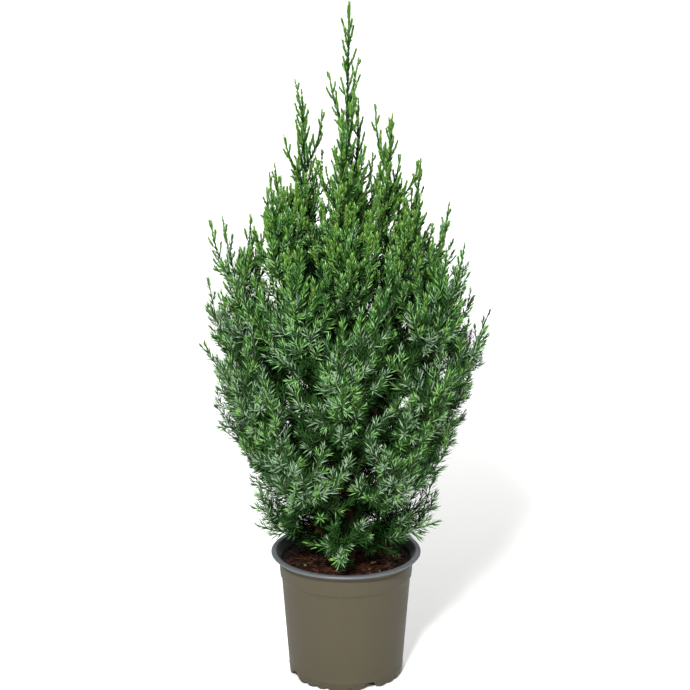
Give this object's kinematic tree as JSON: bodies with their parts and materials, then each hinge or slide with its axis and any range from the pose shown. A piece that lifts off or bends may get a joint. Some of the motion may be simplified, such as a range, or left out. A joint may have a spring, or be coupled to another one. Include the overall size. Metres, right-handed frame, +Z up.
{
  "type": "potted chinese juniper",
  "caption": "Upright young conifer with a flame-shaped crown of prickly sprays on steep boughs, rooted in a tapered round nursery pot filled with bark-and-peat soil.",
  "frame": {"origin": "centre of the flat underside of the pot, on the ground", "axes": "+Z up along the pot and the trunk, -Y towards the side the plant is looked at from, +X to its right"},
  "size_m": [0.3533, 0.3464, 0.8575],
  "materials": {
    "pot": "satin taupe sheet plastic with a grey rolled lip",
    "soil": "moist dark brown bark chips and peat",
    "bark": "dull fibrous red-brown bark",
    "needles": "satin green needles, yellow-green at the shoot tips and blue-green low down"
  },
  "bodies": {
    "root": {"pot": "pot", "soil": "soil", "trunk": "bark", "bough_low_1": "bark", "bough_low_2": "bark", "bough_low_3": "bark", "bough_low_4": "bark", "bough_low_5": "bark", "bough_middle_1": "bark", "bough_middle_2": "bark", "bough_middle_3": "bark", "bough_middle_4": "bark", "bough_middle_5": "bark", "bough_middle_6": "bark", "bough_middle_7": "bark", "bough_upper_1": "bark", "bough_upper_2": "bark", "bough_upper_3": "bark", "bough_upper_4": "bark", "bough_upper_5": "bark", "bough_high_1": "bark", "bough_high_2": "bark", "bough_high_3": "bark", "bough_high_4": "bark", "bough_high_5": "bark", "bough_high_6": "bark", "foliage_skirt_1": "needles", "foliage_skirt_2": "needles", "foliage_skirt_3": "needles", "foliage_skirt_4": "needles", "foliage_skirt_5": "needles", "foliage_low_1": "needles", "foliage_low_2": "needles", "foliage_low_3": "needles", "foliage_low_4": "needles", "foliage_low_5": "needles", "foliage_middle_1": "needles", "foliage_middle_2": "needles", "foliage_middle_3": "needles", "foliage_middle_4": "needles", "foliage_middle_5": "needles", "foliage_middle_6": "needles", "foliage_middle_7": "needles", "foliage_upper_1": "needles", "foliage_upper_2": "needles", "foliage_upper_3": "needles", "foliage_upper_4": "needles", "foliage_upper_5": "needles", "foliage_high_1": "needles", "foliage_high_2": "needles", "foliage_high_3": "needles", "foliage_high_4": "needles", "foliage_high_5": "needles", "foliage_high_6": "needles", "foliage_top_1": "needles", "foliage_top_2": "needles", "foliage_top_3": "needles", "foliage_top_4": "needles", "foliage_leader": "needles"}
  },
  "joints": []
}
